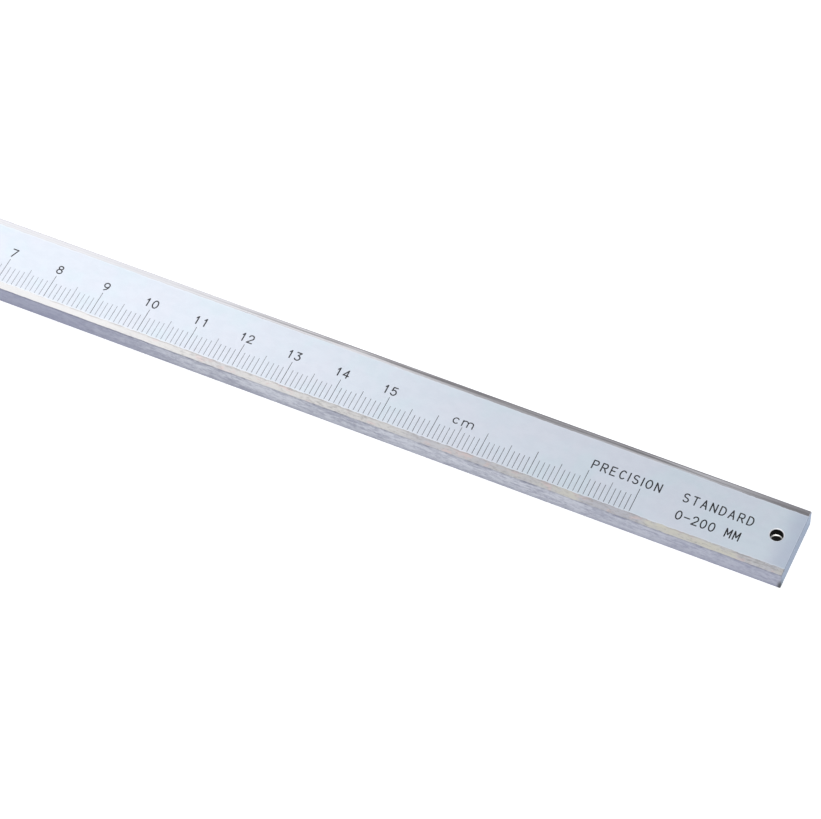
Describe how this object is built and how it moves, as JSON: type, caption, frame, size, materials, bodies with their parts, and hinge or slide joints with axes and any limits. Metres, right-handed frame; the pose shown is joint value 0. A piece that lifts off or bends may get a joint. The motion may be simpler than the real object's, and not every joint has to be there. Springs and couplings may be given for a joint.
{
  "type": "steel ruler",
  "caption": "Flat steel ruler with ground bevelled edges, an engraved centimetre scale filled in black, and a hanging hole near one end.",
  "frame": {"origin": "under the middle of the bar, on the surface that the ruler lies on", "axes": "+X along the scale, in the direction in which it counts; +Y across the width, so that the numerals stand upright; +Z out of the engraved face"},
  "size_m": [0.23, 0.015, 0.0044],
  "materials": {
    "steel": "satin face, ground edges",
    "black_filling": "matt paint in the engraved marks"
  },
  "bodies": {
    "root": {"ruler_bar": "steel", "centimetre_line_01": "black_filling", "centimetre_line_02": "black_filling", "centimetre_line_03": "black_filling", "centimetre_line_04": "black_filling", "centimetre_line_05": "black_filling", "centimetre_line_06": "black_filling", "centimetre_line_07": "black_filling", "centimetre_line_08": "black_filling", "centimetre_line_09": "black_filling", "centimetre_line_10": "black_filling", "centimetre_line_11": "black_filling", "centimetre_line_12": "black_filling", "centimetre_line_13": "black_filling", "centimetre_line_14": "black_filling", "centimetre_line_15": "black_filling", "centimetre_line_16": "black_filling", "centimetre_line_17": "black_filling", "centimetre_line_18": "black_filling", "centimetre_line_19": "black_filling", "centimetre_line_20": "black_filling", "numeral_01": "black_filling", "numeral_02": "black_filling", "numeral_03": "black_filling", "numeral_04": "black_filling", "numeral_05": "black_filling", "numeral_06": "black_filling", "numeral_07": "black_filling", "numeral_08": "black_filling", "numeral_09": "black_filling", "numeral_10_tens": "black_filling", "numeral_10_units": "black_filling", "numeral_11_tens": "black_filling", "numeral_11_units": "black_filling", "numeral_12_tens": "black_filling", "numeral_12_units": "black_filling", "numeral_13_tens": "black_filling", "numeral_13_units": "black_filling", "numeral_14_tens": "black_filling", "numeral_14_units": "black_filling", "numeral_15_tens": "black_filling", "numeral_15_units": "black_filling", "unit_mark_c": "black_filling", "unit_mark_m": "black_filling"}
  },
  "joints": []
}
